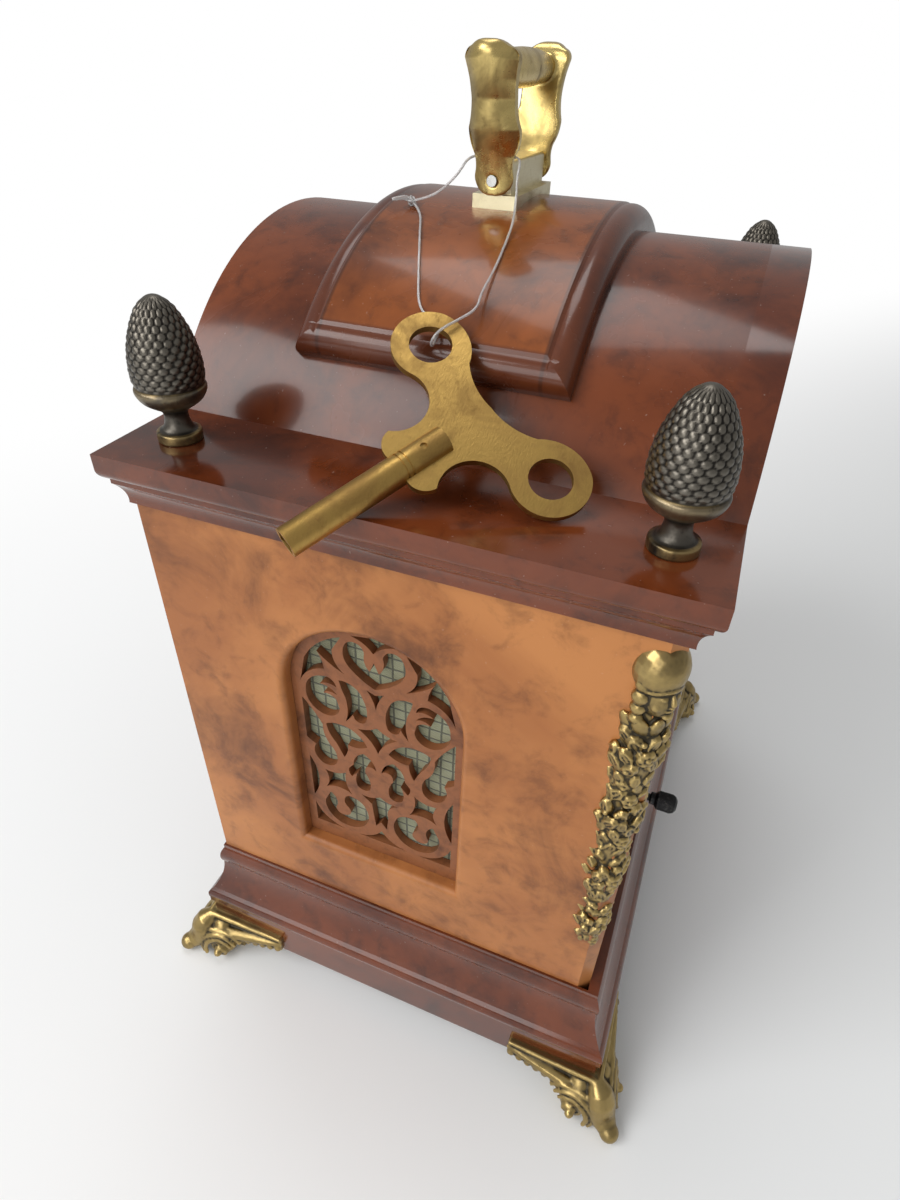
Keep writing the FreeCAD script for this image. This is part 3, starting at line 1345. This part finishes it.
def make_key():
    """Winding key: a barrel with a square socket, slotted over a flat plate with two round eyes."""
    half = S.key_thick / 2
    lobe = S.key_lobe
    eye_x = S.key_long + S.key_eye_up
    eye_y = S.key_eye_out
    tail = S.key_long - 13.0

    def spot(point):
        return key_point(point[0], point[1], -half)

    side = [
        [(tail - 0.6, 7.6), (tail + 3.2, 9.8)],
        [(S.key_long + 1.0, 8.4), (eye_x - 9.6, eye_y - 4.0)],
        [(eye_x - 2.0, eye_y + lobe - 0.2), (eye_x + 8.6, eye_y + 5.8)],
        [(eye_x + 9.2, eye_y - 4.8), (eye_x + 4.6, eye_y - 10.4)],
        [(eye_x + 1.4, 7.0), (eye_x + 0.8, 0)],
    ]
    start = (tail + 1.6, 0)
    ends = [start] + [step[-1] for step in side]
    back = []
    for index in reversed(range(len(side))):
        middle = side[index][0]
        end = ends[index]
        back.append([(middle[0], -middle[1]), (end[0], -end[1])])
    outline = [[spot(p) for p in step] for step in side + back]
    plate = prism(outline, KEY_FACE * S.key_thick)
    holes = [Part.makeCylinder(S.key_eye, 6, key_point(eye_x, sign * eye_y, -3), KEY_FACE) for sign in (-1, 1)]
    barrel = key_rod(S.key_barrel, 0, S.key_long)
    plate = plate.cut(Part.makeCompound(holes)).cut(barrel)
    node(shaped("key_wing_shape", plate), "key_wings")
    socket = Part.makeBox(S.square, S.square, S.key_socket_deep)
    turn = Rotation(KEY_ACROSS, KEY_FACE, KEY_ALONG, "ZXY")
    socket.Placement.Rotation = turn
    socket.Placement.Base = key_point(0, -S.square / 2, -S.square / 2)
    groove_at = S.key_long - 13.6
    grooves = []
    for shift in (0, 1.5):
        ring = key_rod(S.key_barrel + 1, groove_at + shift, groove_at + shift + 0.5)
        grooves.append(ring.cut(key_rod(S.key_barrel - 0.25, groove_at + shift - 1, groove_at + shift + 2)))
    dimple = Part.makeCylinder(0.9, 2.0, key_point(S.key_long - 6.4, 0, S.key_barrel - 0.5), KEY_FACE)
    barrel = barrel.cut(socket).cut(Part.makeCompound(grooves)).cut(dimple)
    node(shaped("key_barrel_shape", barrel), "key_barrel")


def on_field(x, y):
    """A thread point that lies on the raised field."""
    lift = S.roof_radius + S.crown_rise + S.thread_radius + 0.4
    return Vector(x, y, roof_z + math.sqrt(lift ** 2 - x ** 2))


def by_eye(along, across, up):
    """A thread point measured from the middle of the key's upper eye."""
    return key_point(S.key_long + S.key_eye_up + along, S.key_eye_out + across, up)


def tube(points, radius):
    """A tube on straight runs joined by tangent arcs, each as large as its two runs allow."""
    edges = []
    start = points[0]
    smallest = None
    for index in range(1, len(points) - 1):
        before = points[index] - points[index - 1]
        after = points[index + 1] - points[index]
        turn = before.getAngle(after)
        reach = 0.45 * min(before.Length, after.Length)
        bend = reach / math.tan(turn / 2)
        smallest = bend if smallest is None else min(smallest, bend)
        first = points[index] - before.normalize() * reach
        last = points[index] + after.normalize() * reach
        inward = (after - before).normalize()
        middle = points[index] + inward * (bend / math.cos(turn / 2) - bend)
        edges.append(Part.LineSegment(start, first).toShape())
        edges.append(Part.Arc(first, middle, last).toShape())
        start = last
    edges.append(Part.LineSegment(start, points[-1]).toShape())
    path = Part.Wire(edges)
    ring = Part.Wire(Part.makeCircle(radius, points[0], points[1] - points[0]))
    shape = path.makePipeShell([ring], True, False)
    print("thread length", round(path.Length, 1), "smallest bend", round(smallest, 2), "volume over section",
          round(shape.Volume / (math.pi * radius ** 2 * path.Length), 4))
    return shape


def make_thread():
    """Loop of thread: through the key's upper eye, round the foot of a handle leg, and knotted."""
    leg_y = S.mid_y
    above = pivot.z + 5.6
    points = [
        Vector(-21.6, 33.4, 302.6),
        on_field(-25.4, 28.6),
        on_field(-38.0, 23.4),
        on_field(-51.0, 18.0),
        on_field(-62.9, 12.9),
        by_eye(9.0, 6.6, -3.4),
        by_eye(5.0, 3.6, -3.2),
        by_eye(1.6, 1.2, -2.4),
        by_eye(0.4, 0.6, 0.2),
        by_eye(1.6, 0.7, 2.6),
        by_eye(5.0, 1.1, 3.0),
        by_eye(9.5, 1.3, 2.2),
        by_eye(16.0, 0.9, 2.6),
        on_field(-58.0, -3.4) + Z * 2.2,
        on_field(-48.4, -3.5),
        on_field(-38.5, -2.9),
        on_field(-29.4, -2.0) + Z * 0.6,
        Vector(-24.8, leg_y - 8.8, pivot.z - 3.4),
        Vector(-22.8, leg_y - 8.0, pivot.z + 1.6),
        Vector(-20.9, leg_y - 8.0, above - 0.8),
        Vector(-17.1, leg_y - 6.2, above + 0.4),
        Vector(-16.6, leg_y, above),
        Vector(-17.1, leg_y + 6.2, above + 0.2),
        Vector(-20.9, leg_y + 8.2, above - 0.6),
        Vector(-22.8, leg_y + 9.6, pivot.z + 1.8),
        Vector(-23.4, leg_y + 13.6, pivot.z - 2.2),
        Vector(-23.0, leg_y + 19.0, pivot.z - 5.6),
        Vector(-22.2, 32.6, 302.9),
    ]
    strand = tube(points, S.thread_radius)
    knot = Part.makeSphere(1.3, Vector(-21.6, 33.9, 302.9))
    node(shaped("thread_shapes", Part.makeCompound([strand, knot.cut(strand)])), "nylon_thread")


make_plinth()
make_base_moulding()
for side, label in ((-1, "left"), (1, "right")):
    make_side(side, label)
    make_fret(side, label)
    make_mount(side, label)
    make_foot(side, -1, "front_" + label)
    make_foot(side, 1, "back_" + label)
make_front_frame()
make_back_frame()
make_top()
make_roof()
make_crown()
make_handle_base()
make_handle()
make_finials()
make_front_door()
make_knob()
make_back_door()
make_hinges()
make_dial()
make_hands()
make_plates()
make_train()
make_motion_work()
make_balance()
make_bell()
make_cloths()
make_key()
make_thread()

# ---- writing -----------------------------------------------------------------------------------

doc.recompute()
faults = [item.Name for item in doc.Objects if "Invalid" in item.State or "Error" in item.State]
if faults:
    raise RuntimeError("not built: " + ", ".join(faults))
for item in NODES:
    if item.Shape.isNull() or not item.Shape.isValid():
        raise RuntimeError("bad shape: " + item.Label)
os.makedirs("parts", exist_ok=True)
for item in NODES:
    item.Shape.exportStep(os.path.join("parts", item.Label + ".step"))
    print(item.Label, len(item.Shape.Solids), round(item.Shape.Volume, 1))
